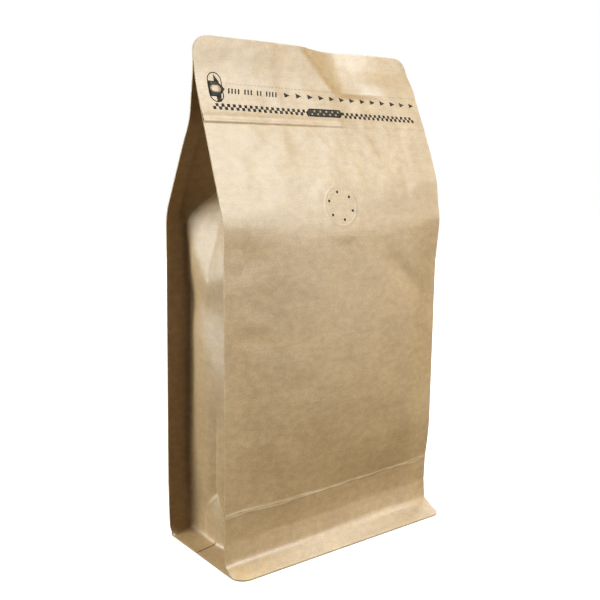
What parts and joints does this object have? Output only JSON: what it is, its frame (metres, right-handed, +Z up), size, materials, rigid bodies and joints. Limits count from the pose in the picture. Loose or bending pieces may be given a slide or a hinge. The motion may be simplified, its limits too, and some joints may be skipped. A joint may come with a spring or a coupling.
{
  "type": "stand-up coffee pouch",
  "caption": "Filled flat-bottom pouch of brown kraft laminate with side gussets, corner fins, tear strip print and a degassing valve.",
  "frame": {"origin": "middle of the base, on the surface that the pouch stands on", "axes": "+Z up along the pouch, the front panel with the valve faces -Y, +X to the right seen from the front"},
  "size_m": [0.136, 0.072, 0.254],
  "materials": {
    "kraft": "matt kraft paper with a slight sheen"
  },
  "bodies": {
    "root": {"pouch": "kraft"}
  },
  "joints": []
}
